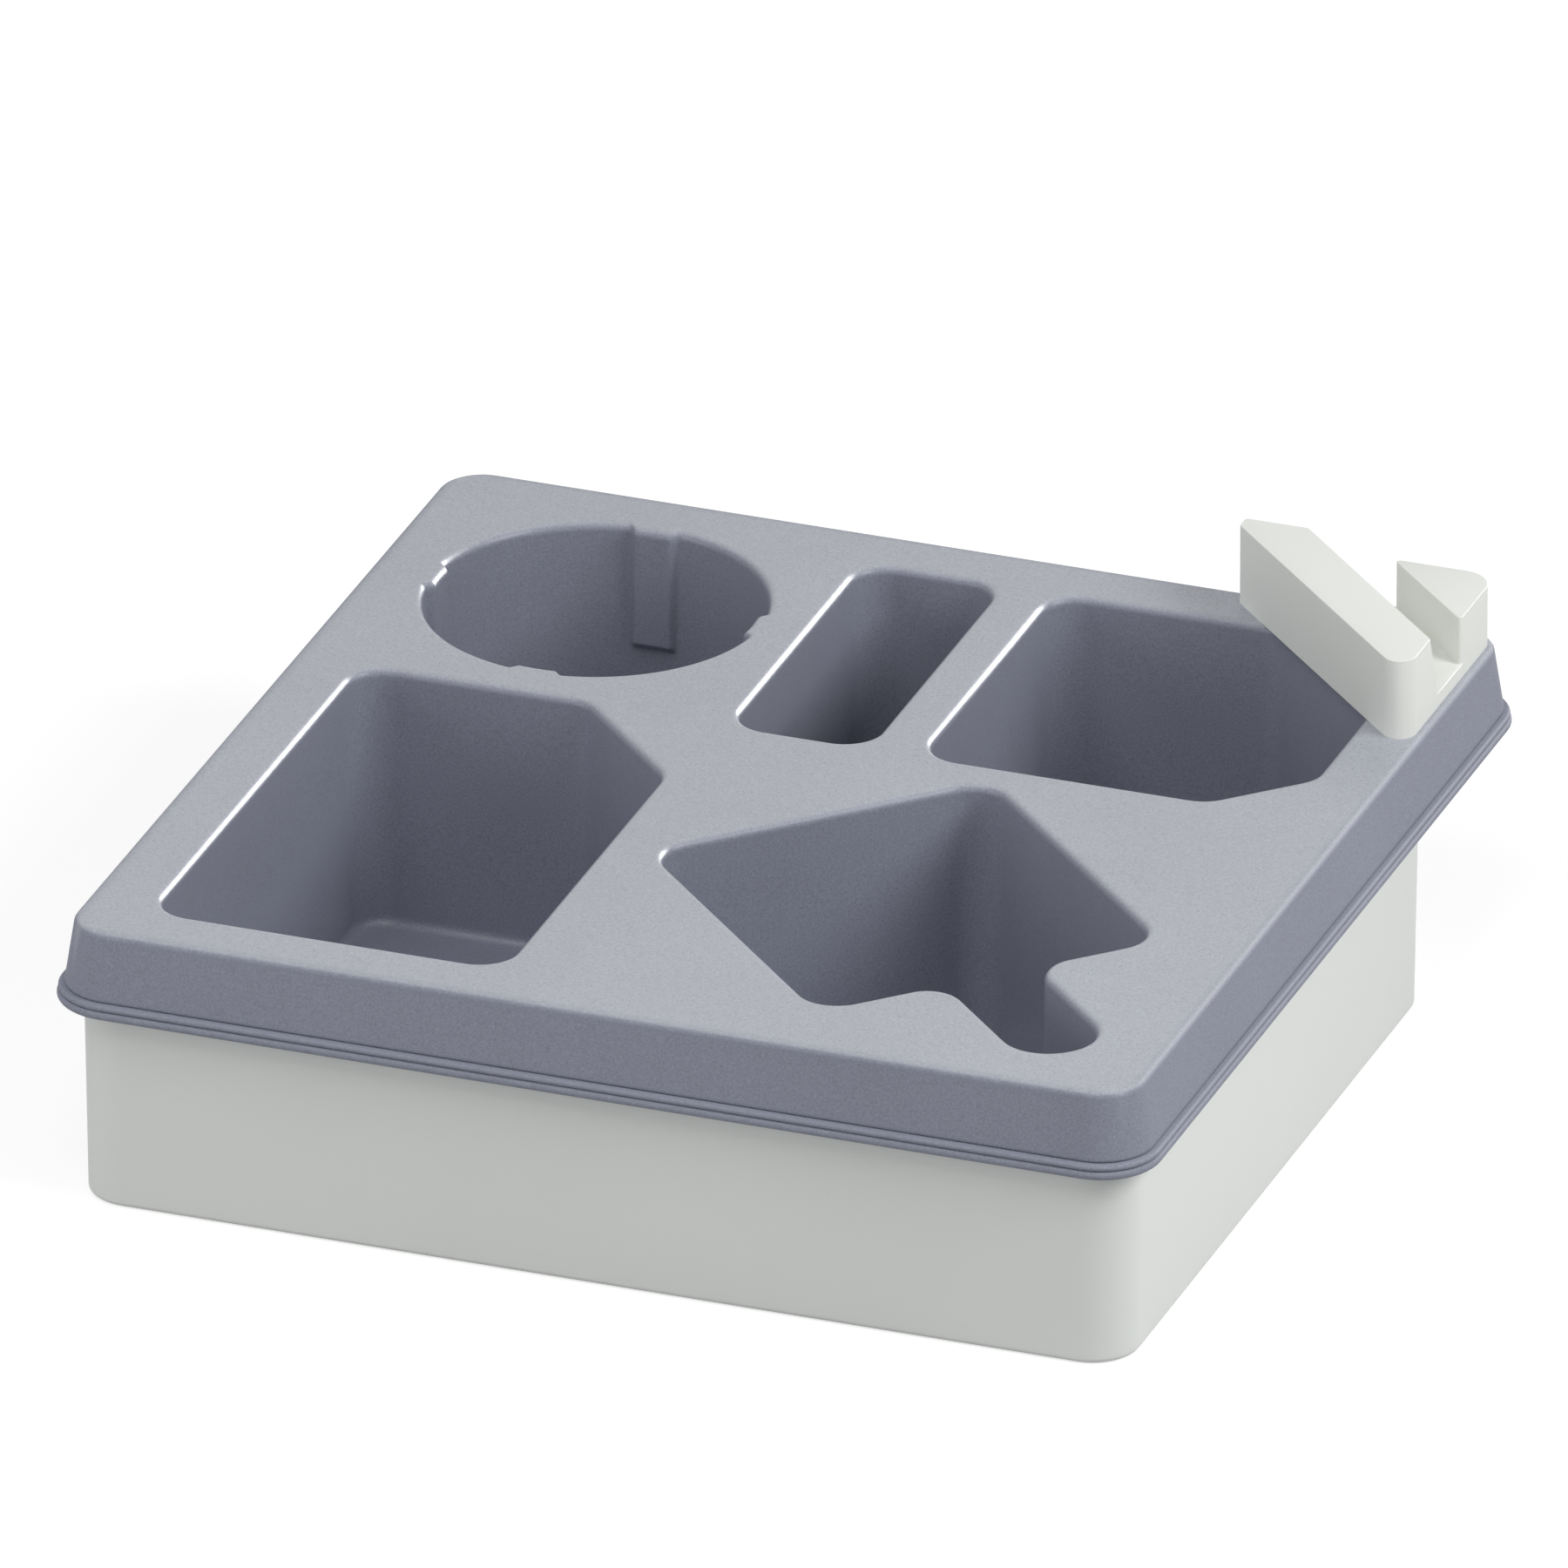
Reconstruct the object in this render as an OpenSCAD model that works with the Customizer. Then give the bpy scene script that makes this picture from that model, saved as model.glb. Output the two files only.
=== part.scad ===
// Sofa arm tray: a moulded tray with five pockets on a shallow storage box, with a phone holder.
// Millimetres, +Z up. The origin is in the middle of the footprint, on the surface it stands on.
// The front is towards -Y. The phone holder stands on the back right corner.

/* [Tray] */
// Width and depth of the flat deck, measured to its sharp corners
deck_w = 320; // [316:1:360]
// Height of the deck above the standing surface
deck_h = 86.4; // [84:0.2:110]
// Plan radius of the deck corners
deck_r = 13; // [8:0.5:20]
// Radius of the rounded edge round the deck
deck_edge = 2; // [1:0.25:3]
// Thickness of the deck
deck_t = 3; // [2:0.25:4]
// Thickness of the skirt at its top
skirt_t = 3; // [2:0.25:5]
// Depth of the sloping skirt below the deck
skirt_h = 20.4; // [16:0.2:24]
// How far the skirt slopes outwards over its depth
skirt_flare = 2.75; // [1:0.25:4]
// Height of the flange under the skirt
flange_h = 4.4; // [4:0.1:6]
// Reach of the flange beyond the edge of the deck
flange_out = 5; // [4:0.25:7]
// Height of the upper bead of the flange
bead_h = 1.9; // [1.5:0.1:2.4]
// How far each bead of the flange stands proud
bead_out = 1; // [0.6:0.1:1.4]
// Thickness of the web that closes the underside of the skirt
web_t = 3; // [2:0.25:4]
// Thickness of the lip that drops inside the box
lip_t = 2.5; // [2:0.25:3.5]
// Depth of the lip below the flange
lip_h = 5; // [3:0.5:10]
// Clearance between the lip and the box
lip_gap = 0.4; // [0.3:0.1:1]

/* [Pockets] */
// Distance from the deck edge to the pockets at the left and right
side_margin = 20; // [18:0.5:24]
// Distance from the deck edge to the pockets at the front and back
end_margin = 19.5; // [18:0.5:24]
// Depth of every pocket below the deck
pocket_d = 80.3; // [60:0.1:81]
// Wall and floor thickness of the pockets
pocket_t = 2.5; // [2:0.25:3]
// Plan radius in the corners of the pockets
pocket_r = 11; // [8:0.5:14]
// Radius of the rounded rim of the pockets
rim_r = 2.5; // [1.5:0.25:3]
// How far each pocket wall leans inwards over its depth
pocket_draft = 1.2; // [0.5:0.1:2]
// Radius between the pocket walls and floors
floor_r = 3; // [2:0.25:4]

/* [Round pocket for a tumbler] */
// Inside diameter at the rim
cup_d = 99; // [90:0.5:102]
// Distance from the deck edges to the round pocket
cup_margin = 18.4; // [17:0.2:22]
// Width of each of the four grip ribs
cup_rib_w = 13; // [9:0.5:18]
// How far the grip ribs stand into the pocket
cup_rib_out = 2.5; // [1.5:0.25:4]
// Length of the grip ribs below the deck
cup_rib_h = 38.5; // [25:0.5:50]

/* [Slot for a remote control] */
// Width of the slot
remote_w = 42; // [34:0.5:44]
// Length of the slot and of the snack pocket, front to back
row_d = 112.4; // [90:0.2:113]

/* [Snack pocket] */
// Width of the snack pocket
snack_w = 110.2; // [90:0.2:112]
// Land between the snack pocket and the remote slot
row_land = 16; // [12:0.5:18]
// Leg of the cut front right corner
snack_front_cut = 24.3; // [14:0.1:34]
// Leg of the cut back right corner, in front of the phone holder
snack_back_cut = 43; // [40:0.5:56]

/* [Can pocket] */
// Width of the can pocket
can_w = 105.7; // [90:0.1:108]
// Length of the can pocket, front to back
can_l = 169; // [140:0.5:170]
// Leg of the cut back right corner
can_cut = 37.2; // [20:0.1:46]

/* [Mug pocket] */
// Length of the diamond along its handle slot
mug_l = 112.4; // [96:0.2:114]
// Width of the diamond across its handle slot
mug_w = 106; // [90:0.5:108]
// Distance from the right edge of the deck to the middle of the diamond
mug_x = 104; // [102:0.5:110]
// Distance from the front edge of the deck to the middle of the diamond
mug_y = 102; // [100:0.5:108]
// Width of the handle slot
handle_w = 26.7; // [20:0.1:34]
// Length of the handle slot beyond the diamond
handle_l = 52.8; // [30:0.2:54]

/* [Storage box] */
// How far the flange of the tray reaches beyond the box
overhang = 6.7; // [6:0.1:9]
// Wall thickness of the box
box_t = 3; // [2:0.25:3.5]
// Floor thickness of the box
box_floor_t = 3; // [2:0.1:3.2]
// Plan radius of the box corners
box_r = 15; // [10:0.5:20]
// How far each wall leans inwards towards the bottom
box_draft = 0.9; // [0:0.1:2]
// Radius of the bottom edge
box_edge = 1.6; // [1:0.1:2]
// Distance from the snack pocket's cut corner to the box's cut corner
corner_gap = 9.6; // [9.2:0.1:14]
// Width of the standing rim round the underside
foot_w = 12; // [6:0.5:20]
// Depth of the recess inside the standing rim
foot_h = 0.8; // [0.4:0.1:1.2]

/* [Phone holder] */
// Distance from the deck edges to the outer faces of the holder
holder_inset = 2.5; // [2.5:0.1:6]
// Depth of the holder across its diagonal at the front face, at the deck
holder_reach = 57.2; // [56:0.1:62]
// Height of the front bar
bar_h = 24.6; // [18:0.2:34]
// Thickness of the front bar at its top
bar_t = 17; // [12:0.1:18]
// How far the back of the bar leans over the phone slot's depth
bar_lean = 4.6; // [1:0.1:5]
// Height of the slot floor above the deck
slot_floor = 4.2; // [3:0.1:8]
// Width of the phone slot at its floor
slot_w = 13.5; // [10:0.1:15]
// Height of the block behind the slot
back_h = 19; // [12:0.5:22]
// Plan radius of the holder's outer corner, over the corner of the tray
holder_r = 9; // [6:0.5:12]
// Plan radius of the bar's right corner
bar_r = 5; // [3:0.5:7]
// Width of the blunt end of the bar
tip_w = 5; // [4:0.25:8]
// Radius of the holder's top edges
holder_edge = 0.9; // [0.6:0.1:1.4]
// Plan radius of the small corners, beyond the radius of the top edges
tip_r = 0.3; // [0.2:0.1:1]
// Diameter of the two pegs under the bar
peg_d = 7; // [5:0.5:8]
// Length of the pegs
peg_h = 4; // [3:0.5:6]
// Clearance round and under each peg
peg_gap = 0.3; // [0.2:0.05:0.6]
// Wall round and under each peg socket
socket_t = 2.6; // [2:0.2:3]
// Distance from the front face of the holder to the pegs
peg_back = 12.4; // [11.8:0.2:13]
// Distance of each peg from the middle of the bar
peg_x = 28; // [18:1:30]

/* [Hidden] */
// Steps that round a quarter turn in plan, and an edge in section
plan_steps = 6;
edge_steps = 3;
root2 = sqrt(2);
// Height of the tray above the surface at the underside of its flange, where it sits on the box
seat_z = deck_h - skirt_h - flange_h;
floor_z = deck_h - pocket_d;
half = deck_w / 2;
x_right = half - side_margin;
x_left = side_margin - half;
y_back = half - end_margin;
y_front = end_margin - half;
row_y = y_back - row_d;
cup_r = cup_d / 2;
cup_x = cup_r + cup_margin - half;
cup_y = half - cup_margin - cup_r;
box_half = half + flange_out - overhang;
// Sum of X and Y along the cut corner of the snack pocket, of the box and along the holder's front
snack_line = x_right + y_back - snack_back_cut;
box_line = snack_line + corner_gap * root2;
holder_face = half - holder_inset;
holder_line = 2 * holder_face - holder_reach * root2;
// Distances from the origin across the diagonal, to the faces of the slot
front_n = holder_line / root2;
bar_top_n = front_n + bar_t;
bar_foot_n = bar_top_n + bar_lean;
back_n = bar_foot_n + slot_w;

// Corner lists hold [x, y, radius], anticlockwise
remote_corners = [
    [x_right - snack_w - row_land - remote_w, row_y, pocket_r],
    [x_right - snack_w - row_land, row_y, pocket_r],
    [x_right - snack_w - row_land, y_back, pocket_r],
    [x_right - snack_w - row_land - remote_w, y_back, pocket_r]
];
snack_corners = [
    [x_right - snack_w, row_y, pocket_r],
    [x_right - snack_front_cut, row_y, pocket_r],
    [x_right, row_y + snack_front_cut, pocket_r],
    [x_right, snack_line - x_right, pocket_r],
    [snack_line - y_back, y_back, pocket_r],
    [x_right - snack_w, y_back, pocket_r]
];
can_corners = [
    [x_left, y_front, pocket_r],
    [x_left + can_w, y_front, pocket_r],
    [x_left + can_w, y_front + can_l - can_cut, pocket_r],
    [x_left + can_w - can_cut, y_front + can_l, pocket_r],
    [x_left, y_front + can_l, pocket_r]
];
mug_plan = [
    [-mug_l / 2, -mug_w / 2, pocket_r],
    [mug_l / 2, -mug_w / 2, pocket_r],
    [mug_l / 2, -handle_w / 2, pocket_r],
    [mug_l / 2 + handle_l, -handle_w / 2, handle_w / 2 - 0.2],
    [mug_l / 2 + handle_l, handle_w / 2, handle_w / 2 - 0.2],
    [mug_l / 2, handle_w / 2, pocket_r],
    [mug_l / 2, mug_w / 2, pocket_r],
    [-mug_l / 2, mug_w / 2, pocket_r]
];
mug_corners = [
    for (p = mug_plan) [
        half - mug_x + (p[0] + p[1]) / root2,
        mug_y - half + (p[1] - p[0]) / root2,
        p[2]
    ]
];
deck_corners = [
    [-half, -half, deck_r],
    [half, -half, deck_r],
    [half, half, deck_r],
    [-half, half, deck_r]
];
box_corners = [
    [-box_half, -box_half, box_r],
    [box_half, -box_half, box_r],
    [box_half, box_line - box_half, box_r],
    [box_line - box_half, box_half, box_r],
    [-box_half, box_half, box_r]
];
small_r = holder_edge + tip_r;
bar_front = [
    [holder_line - holder_face + tip_w, holder_face - tip_w, small_r],
    [holder_face, holder_line - holder_face, bar_r]
];
bar_end = [[holder_line - holder_face + tip_w, holder_face, small_r]];
holder_corners = concat(bar_front, [[holder_face, holder_face, holder_r]], bar_end);
// The front bar, cut off at a distance across the diagonal
function bar_corners(n) = concat(
    bar_front,
    [[holder_face, n * root2 - holder_face, small_r], [n * root2 - holder_face, holder_face, small_r]],
    bar_end
);
block_corners = [
    [holder_face, back_n * root2 - holder_face, small_r],
    [holder_face, holder_face, holder_r],
    [back_n * root2 - holder_face, holder_face, small_r]
];

function flat(lists) = [for (l = lists) for (v = l) v];
function average(points) = [for (k = [0, 1]) [for (p = points) p[k]] * [for (p = points) 1] / len(points)];

// One rounded corner p between its neighbours a and b, moved outwards by d
function corner_points(a, p, b, d) =
    let (
        u = [p[0] - a[0], p[1] - a[1]] / norm([p[0] - a[0], p[1] - a[1]]),
        v = [b[0] - p[0], b[1] - p[1]] / norm([b[0] - p[0], b[1] - p[1]]),
        turn = atan2(u[0] * v[1] - u[1] * v[0], u * v),
        side = sign(turn),
        t = p[2] * tan(abs(turn) / 2),
        cx = p[0] - u[0] * t - u[1] * p[2] * side,
        cy = p[1] - u[1] * t + u[0] * p[2] * side,
        start = atan2(-u[0] * side, u[1] * side),
        steps = ceil(plan_steps * abs(turn) / 90)
    )
    [for (k = [0 : steps]) [
        cx + (p[2] + side * d) * cos(start + turn * k / steps),
        cy + (p[2] + side * d) * sin(start + turn * k / steps)
    ]];

// The rounded outline of a corner list, moved outwards by d
function outline(corners, d = 0) = flat([
    for (i = [0 : len(corners) - 1])
        corner_points(
            corners[(i + len(corners) - 1) % len(corners)],
            corners[i],
            corners[(i + 1) % len(corners)],
            d
        )
]);

// Round outline with four ribs that stand in by amount, moved outwards by d
rib_a = asin(cup_rib_w / cup_d);
rib_side = 2.6;
rib_angles = [-rib_a - rib_side, -rib_a - rib_side / 2, -rib_a, -rib_a / 2, 0];
rib_share = [0, 0.5, 1, 1, 1];
land_steps = 8;
function cup_quarter(turn, d, amount) = concat(
    [for (i = [0 : 4]) cup_point(turn + rib_angles[i], d - amount * rib_share[i])],
    [for (i = [3 : -1 : 0]) cup_point(turn - rib_angles[i], d - amount * rib_share[i])],
    [for (k = [1 : land_steps - 1]) cup_point(
        turn - rib_angles[0] + (90 + 2 * rib_angles[0]) * k / land_steps, d
    )]
);
function cup_point(a, d) = [cup_x + (cup_r + d) * cos(a), cup_y + (cup_r + d) * sin(a)];
function cup_outline(d, amount) = flat([for (q = [0 : 3]) cup_quarter(90 * q, d, amount)]);

// Closed solid through outlines that lie one above another, lowest first, each as [height, points]
module skin(rings) {
    n = len(rings[0][1]);
    m = len(rings);
    low = average(rings[0][1]);
    high = average(rings[m - 1][1]);
    points = concat(
        flat([for (r = rings) [for (p = r[1]) [p[0], p[1], r[0]]]]),
        [[low[0], low[1], rings[0][0]], [high[0], high[1], rings[m - 1][0]]]
    );
    walls = flat([
        for (j = [0 : m - 2]) [
            for (i = [0 : n - 1]) [
                j * n + i, (j + 1) * n + i, (j + 1) * n + (i + 1) % n, j * n + (i + 1) % n
            ]
        ]
    ]);
    floors = [for (i = [0 : n - 1]) [m * n, i, (i + 1) % n]];
    tops = [for (i = [0 : n - 1]) [m * n + 1, (m - 1) * n + (i + 1) % n, (m - 1) * n + i]];
    polyhedron(points = points, faces = concat(walls, floors, tops), convexity = 8);
}

// Heights and offsets down a pocket, lowest first
pocket_levels = concat(
    [for (k = [0 : edge_steps]) let (a = 90 * k / edge_steps) [
        floor_z + floor_r * (1 - cos(a)), -pocket_draft - floor_r * (1 - sin(a))
    ]],
    [for (k = [0 : edge_steps]) let (a = 90 * k / edge_steps) [
        deck_h - rim_r * (1 - sin(a)), rim_r * (1 - cos(a))
    ]],
    [[deck_h + 1, rim_r]]
);

module pocket(corners) skin([for (l = pocket_levels) [l[0], outline(corners, l[1])]]);

module pocket_shell(corners) skin([
    [floor_z - pocket_t, outline(corners, pocket_t - pocket_draft - floor_r / 2)],
    [floor_z - pocket_t + floor_r / 2, outline(corners, pocket_t - pocket_draft)],
    [deck_h - deck_t / 2, outline(corners, pocket_t)]
]);

// The ribs of the round pocket run from the rim down to cup_rib_h, over a plain wall
module cup_pocket() {
    rib_z = deck_h - cup_rib_h;
    levels = concat(
        [for (k = [0 : edge_steps]) [pocket_levels[k][0], pocket_levels[k][1], 0]],
        [[rib_z - 1.2, -pocket_draft / 2, 0], [rib_z, -pocket_draft / 2, cup_rib_out]],
        [for (k = [edge_steps + 1 : len(pocket_levels) - 1])
            [pocket_levels[k][0], pocket_levels[k][1], cup_rib_out]]
    );
    skin([for (l = levels) [l[0], cup_outline(l[1], l[2])]]);
}

module cup_shell() {
    translate([cup_x, cup_y, floor_z - pocket_t])
        cylinder(
            h = pocket_d + pocket_t - deck_t / 2,
            r1 = cup_r - pocket_draft + pocket_t,
            r2 = cup_r + pocket_t,
            $fn = 96
        );
}

// Heights and offsets of one bead of the flange
function bead(z, h, d) = [for (a = [-80, -40, 0, 40, 80]) [z + h / 2 + h / 2 * sin(a), d - bead_out * (1 - cos(a))]];

tray_levels = concat(
    bead(seat_z, flange_h - bead_h, flange_out),
    bead(seat_z + flange_h - bead_h, bead_h, flange_out - 0.4),
    [[deck_h - skirt_h + 0.1, skirt_flare - 0.5], [deck_h - skirt_h + 0.7, skirt_flare]],
    [for (k = [0 : edge_steps]) let (a = 90 * k / edge_steps) [
        deck_h - deck_edge * (1 - sin(a)), -deck_edge * (1 - cos(a))
    ]]
);

// The hollow under the deck, between the skirt, the deck and the web
module tray_hollow() {
    translate([0, 0, seat_z + web_t])
        linear_extrude(height = deck_h - deck_t - seat_z - web_t)
            polygon(outline(deck_corners, -skirt_t));
    translate([0, 0, seat_z - 1])
        linear_extrude(height = web_t + 2)
            polygon(outline(box_corners, -box_t - lip_gap - lip_t));
}

module tray_lip() {
    translate([0, 0, seat_z - lip_h])
        linear_extrude(height = lip_h + web_t)
            difference() {
                polygon(outline(box_corners, -box_t - lip_gap));
                polygon(outline(box_corners, -box_t - lip_gap - lip_t));
            }
}

module at_pegs() {
    for (side = [-1, 1])
        rotate([0, 0, 45])
            translate([front_n + peg_back, side * peg_x, 0])
                children();
}

module tray() {
    color([0.63, 0.65, 0.69])
    difference() {
        union() {
            difference() {
                skin([for (l = tray_levels) [l[0], outline(deck_corners, l[1])]]);
                tray_hollow();
            }
            tray_lip();
            pocket_shell(remote_corners);
            pocket_shell(snack_corners);
            pocket_shell(can_corners);
            pocket_shell(mug_corners);
            cup_shell();
            at_pegs()
                translate([0, 0, deck_h - peg_h - peg_gap - socket_t])
                    cylinder(
                        h = peg_h + peg_gap + socket_t - deck_t / 2,
                        d = peg_d + 2 * peg_gap + 2 * socket_t,
                        $fn = 48
                    );
        }
        pocket(remote_corners);
        pocket(snack_corners);
        pocket(can_corners);
        pocket(mug_corners);
        cup_pocket();
        at_pegs()
            translate([0, 0, deck_h - peg_h - peg_gap])
                cylinder(h = peg_h + peg_gap + 1, d = peg_d + 2 * peg_gap, $fn = 48);
    }
}

box_levels = concat(
    [for (k = [0 : edge_steps]) let (a = 90 * k / edge_steps) [
        box_edge * (1 - cos(a)), -box_draft - box_edge * (1 - sin(a))
    ]],
    [[seat_z, 0]]
);
box_inside = [
    [box_floor_t, -box_t - box_draft - floor_r],
    [box_floor_t + floor_r * 0.3, -box_t - box_draft - floor_r * 0.3],
    [box_floor_t + floor_r, -box_t - box_draft],
    [seat_z, -box_t],
    [seat_z + 1, -box_t]
];

module base_box() {
    color([0.86, 0.87, 0.86])
    difference() {
        skin([for (l = box_levels) [l[0], outline(box_corners, l[1])]]);
        skin([for (l = box_inside) [l[0], outline(box_corners, l[1])]]);
        translate([0, 0, -1])
            linear_extrude(height = 1 + foot_h)
                polygon(outline(box_corners, -box_draft - foot_w));
    }
}

// Heights and offsets up the rounded top edge of a block of some height
function block_levels(height) = [for (k = [0 : edge_steps]) let (a = 90 * k / edge_steps) [
    deck_h + height - holder_edge * (1 - sin(a)), -holder_edge * (1 - cos(a))
]];

module phone_holder() {
    // The back of the bar leans from its top down to the floor of the slot
    lean = bar_lean / (bar_h - slot_floor);
    color([0.88, 0.89, 0.88])
    union() {
        skin(concat(
            [[deck_h, outline(bar_corners(bar_foot_n + lean * slot_floor))]],
            [for (l = block_levels(bar_h)) [l[0], outline(bar_corners(bar_top_n + lean * holder_edge), l[1])]]
        ));
        skin(concat(
            [[deck_h, outline(block_corners)]],
            [for (l = block_levels(back_h)) [l[0], outline(block_corners, l[1])]]
        ));
        translate([0, 0, deck_h])
            linear_extrude(height = slot_floor)
                polygon(outline(holder_corners));
        at_pegs()
            translate([0, 0, deck_h - peg_h])
                cylinder(h = peg_h + slot_floor / 2, d = peg_d, $fn = 48);
    }
}

base_box();
tray();
phone_holder();
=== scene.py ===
"""Sofa arm tray: a silicone tray with five pockets on a shallow storage box, with a phone holder.

The looks of the object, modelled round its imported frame. Metres, +Z up, the front towards -Y.
"""

import math

import bmesh
import bpy
from bpy.props import FloatProperty, FloatVectorProperty, PointerProperty
from mathutils import Matrix, Vector


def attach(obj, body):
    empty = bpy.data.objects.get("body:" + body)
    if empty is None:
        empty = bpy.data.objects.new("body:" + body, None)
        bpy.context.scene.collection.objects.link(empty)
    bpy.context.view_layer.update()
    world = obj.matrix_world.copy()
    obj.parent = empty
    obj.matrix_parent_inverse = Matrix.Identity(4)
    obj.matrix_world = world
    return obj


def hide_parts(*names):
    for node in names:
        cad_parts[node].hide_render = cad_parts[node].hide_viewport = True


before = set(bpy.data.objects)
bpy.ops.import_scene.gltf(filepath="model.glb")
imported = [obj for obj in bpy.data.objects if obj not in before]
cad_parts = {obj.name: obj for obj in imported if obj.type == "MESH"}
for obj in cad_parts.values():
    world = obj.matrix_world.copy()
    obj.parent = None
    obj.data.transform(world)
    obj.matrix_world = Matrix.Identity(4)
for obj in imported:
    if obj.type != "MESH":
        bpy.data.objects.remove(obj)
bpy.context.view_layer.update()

bl_info = {
    "name": "Sofa arm tray",
    "version": (1, 0, 0),
    "blender": (4, 5, 0),
    "location": "View3D > Sidebar > Sofa tray",
    "description": "Builds a sofa arm tray with its storage box and phone holder",
    "category": "Object",
}

ROOT2 = math.sqrt(2)

# How finely a quarter turn is divided, in plan, in a rounded edge and in a small hidden one
PLAN_STEPS = 12
ROUND_STEPS = 8
HIDDEN_STEPS = 4
# Corners with a smaller plan radius than this get a third of the steps
SMALL_CORNER = 0.002
# How finely a whole circle is divided: a peg's, and the outside of the round pocket
PEG_STEPS = 48
CUP_STEPS = 96
# Distance of the extra ring that keeps a rounded edge's shading off the flat face beside it
SUPPORT = 0.0006
# A straight side shorter than this gets no extra points near its corners
SHORT_SIDE = 0.004
# Points nearer than this are at the same place
SAME = 1e-6
# Edges that turn by more than this are shaded sharp
SHARP_FROM = math.radians(40)
# The holder's edges that turn by more than this are rounded off, in so many steps
CORNER_FROM = math.radians(35)
CORNER_STEPS = 5

# The ribs of the round pocket: their number, the angle that a flank takes, and the steps of each part
RIBS = 4
RIB_FLANK = math.radians(2.9)
RIB_STEPS = 6
LAND_STEPS = 20
# Height over which a rib's lower end rounds off, and how full that rounding is
RIB_END = 0.0024
RIB_END_POWER = 1.3
# The handle slot's end is this much short of a half circle, so that its two corners never meet
ROUND_END_GAP = 0.0002
# The groove between the skirt and the flange: heights over the skirt's foot, and insets from its flare
GROOVE = ((0.0007, 0.0), (0.0003, 0.0002), (0.0001, 0.0006))
# How far the upper bead falls short of the lower one, and the angles and steps of a bead's section
UPPER_BEAD_INSET = 0.0004
BEAD_FROM, BEAD_TO = math.radians(80), math.radians(-80)
BEAD_STEPS = 10
# Radius of the lip's two lower edges as a share of its thickness
LIP_ROUND = 0.3
# Chamfers of the peg sockets and of the box's recess, and of the pegs
FINE_CHAMFER = 0.0003
PEG_CHAMFER = 0.0005

# Height above which upward faces of the tray get its paler top colour, painted light for the light that the
# deck catches
PAINTED_TOP_LIGHT_FROM = 0.082
# Distance from the tray's middle beyond which its matt skirt starts
SKIRT_FINISH_FROM = 0.156
# Width over which the painted light on the deck, and the matt finish of the skirt, fade in
LIGHT_AND_FINISH_BLEND = 0.002

# How dark the clouded parts of the plastic are, as a share of its colour
CLOUD_SHADE = 0.965

# The sockets of a Mix node that take its two colours, and the one that gives the mixed colour
MIX_COLOURS = (6, 7)
MIX_RESULT = 2

# The floor's radius and steps, its drop below the box's standing rim, and the grey that it throws back
FLOOR_RADIUS = 4.0
FLOOR_STEPS = 64
FLOOR_DROP = 0.0002
FLOOR_GREY = (0.45, 0.45, 0.45, 1.0)
# The floor's own light under the object and far away, and the distances between which it grows
FLOOR_GLOW = (0.68, 0.95)
FLOOR_GLOW_SPAN = (0.2, 1.0)
WHITE = (1.0, 1.0, 1.0, 1.0)
# The level of the even light from all round
AMBIENT = 0.32
# The soft boxes: direction, level and width
SOFT_BOXES = {
    "key_right": ((0.80, -0.05, 0.60), 0.56, 0.9),
    "front_top": ((-0.10, -0.50, 0.86), 0.34, 1.2),
    "front_left": ((-0.70, -0.70, 0.20), 0.18, 1.0),
    "back_right": ((0.44, 0.85, 0.31), 2.0, 1.0),
}
# The soft box that shows only as white glints on the rims
GLINT = "back_right"
# The soft boxes' distance from the point that they are turned to, and that point's height
LIGHT_DISTANCE = 1.8
LIGHT_AIM_HEIGHT = 0.05
# The photograph's view: its turn to the right, its rise, its width at the object, and how far left
# of and below the deck's middle it aims
VIEW_TURN = math.radians(20.03)
VIEW_RISE = math.asin(0.438)
VIEW_WIDTH = 0.4446
VIEW_LEFT, VIEW_DOWN = 0.00116, 0.00128


def size(name, description, default):
    """A length in metres that a user can change."""
    return FloatProperty(
        name=name, description=description, default=default, min=0.0, unit="LENGTH", precision=5
    )


def colour(name, description, default):
    """A colour that a user can change."""
    return FloatVectorProperty(
        name=name, description=description, default=default, size=3, min=0.0, max=1.0, subtype="COLOR"
    )


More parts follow.
